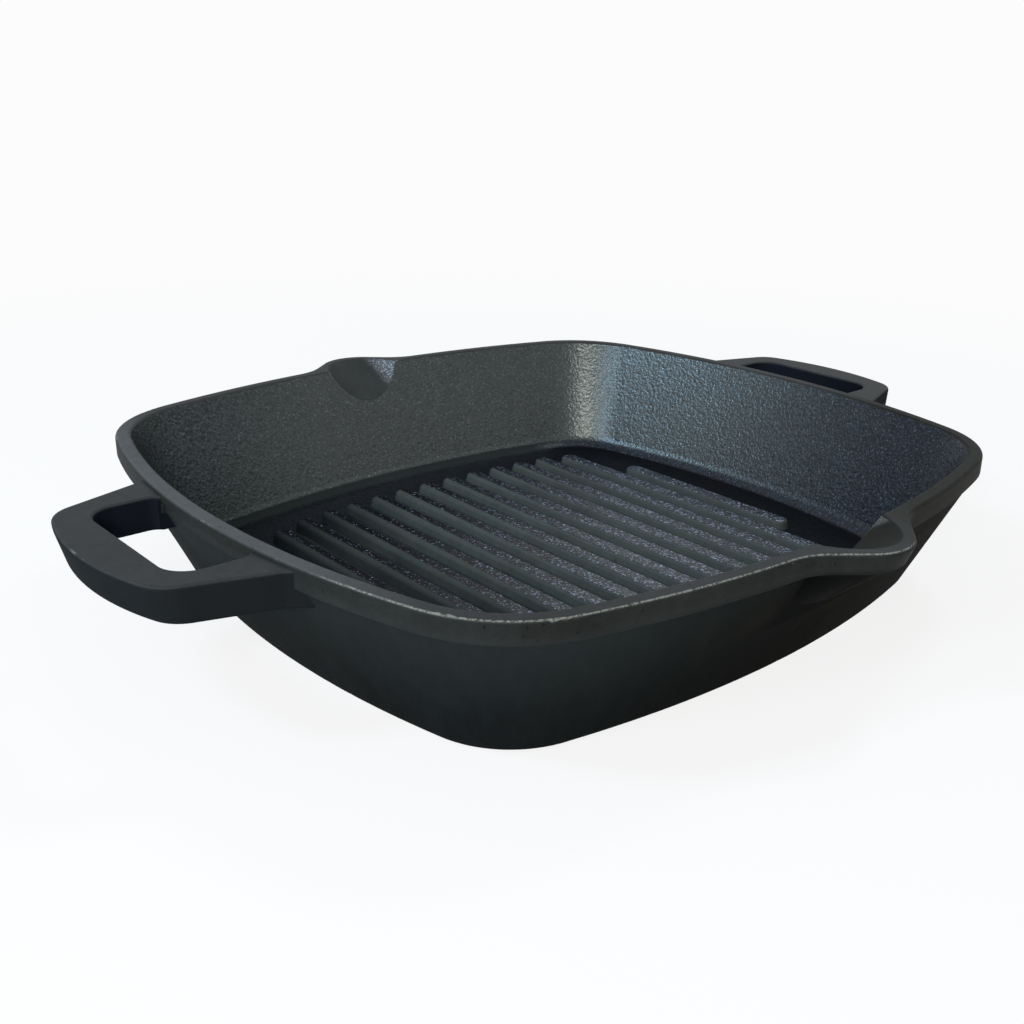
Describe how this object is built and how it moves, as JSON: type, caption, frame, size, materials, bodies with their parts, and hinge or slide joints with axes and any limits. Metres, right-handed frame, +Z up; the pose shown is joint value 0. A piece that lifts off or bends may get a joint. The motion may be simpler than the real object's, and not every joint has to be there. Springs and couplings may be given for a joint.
{
  "type": "grill pan",
  "caption": "Square cast-iron grill pan with bowed sides, a ribbed floor, a loop handle at each end and a pouring spout in each of the other two sides.",
  "frame": {"origin": "middle of the flat underside, on the surface that the pan stands on", "axes": "+Z up, X from loop handle to loop handle, Y from pouring spout to pouring spout"},
  "size_m": [0.36, 0.2987, 0.0533],
  "materials": {
    "cooking_floor": "coarse sand-cast, near matt",
    "cast_wall": "coarse sand-cast, lightly oiled",
    "ground_rim": "ground smooth, satin",
    "ground_spout": "ground channel, satin",
    "ground_handle": "smoothed casting, satin",
    "rib_iron": "sand-cast flanks, rubbed crown"
  },
  "bodies": {
    "root": {"floor_plate": "cooking_floor", "side_wall": "cast_wall", "left_rim": "ground_rim", "right_rim": "ground_rim", "front_spout": "ground_spout", "rear_spout": "ground_spout", "left_handle": "ground_handle", "right_handle": "ground_handle", "grill_rib_01": "rib_iron", "grill_rib_02": "rib_iron", "grill_rib_03": "rib_iron", "grill_rib_04": "rib_iron", "grill_rib_05": "rib_iron", "grill_rib_06": "rib_iron", "grill_rib_07": "rib_iron", "grill_rib_08": "rib_iron", "grill_rib_09": "rib_iron", "grill_rib_10": "rib_iron", "grill_rib_11": "rib_iron", "grill_rib_12": "rib_iron", "grill_rib_13": "rib_iron", "grill_rib_14": "rib_iron", "grill_rib_15": "rib_iron"}
  },
  "joints": []
}
